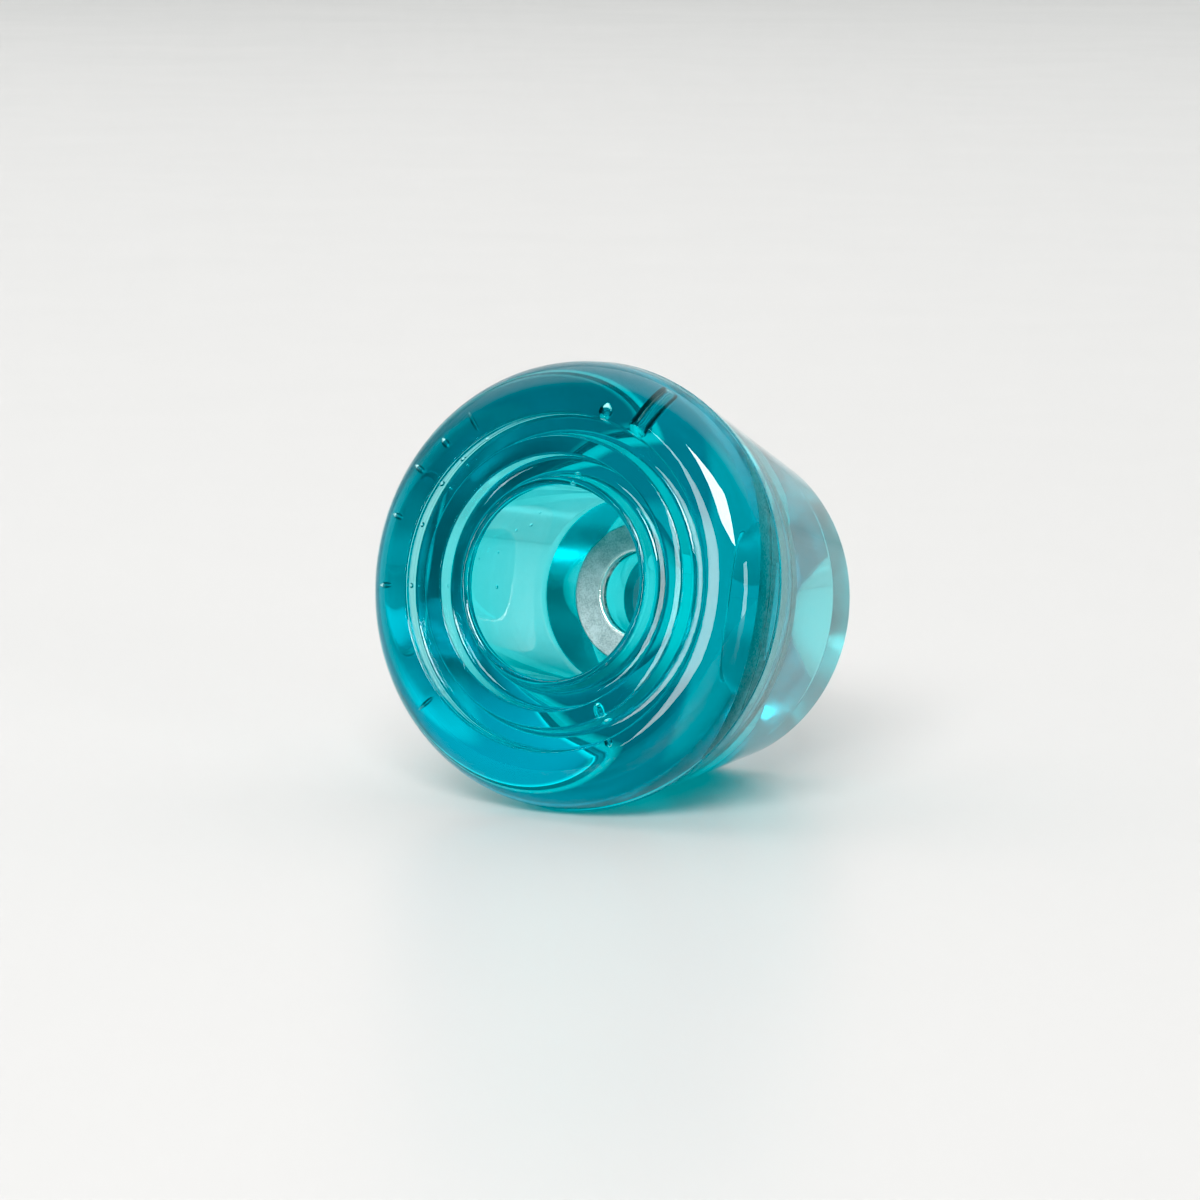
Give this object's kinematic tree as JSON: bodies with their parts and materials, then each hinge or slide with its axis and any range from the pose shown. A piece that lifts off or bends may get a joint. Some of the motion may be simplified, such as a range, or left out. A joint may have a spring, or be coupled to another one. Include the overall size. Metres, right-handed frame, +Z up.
{
  "type": "diabolo",
  "caption": "Tapered clear teal cast cup with a ring-grooved face, a deep centre bore and a steel washer on the bore's floor, pierced for a bolt.",
  "frame": {"origin": "on the ground under the middle of the bounding box, the object lying on its side", "axes": "+X sideways, +Y from the grooved face towards the small end, +Z up; the axis of symmetry is in the YZ plane and falls 11.7 degrees towards +Y"},
  "size_m": [0.055, 0.0482, 0.0542],
  "materials": {
    "clear_teal_plastic": "clear tinted cast plastic, polished by the mould, with fine air bubbles",
    "washer_steel": "dull zinc-plated steel, finely pitted, its edges rubbed bright"
  },
  "bodies": {
    "root": {"moulded_body": "clear_teal_plastic", "washer": "washer_steel"}
  },
  "joints": []
}
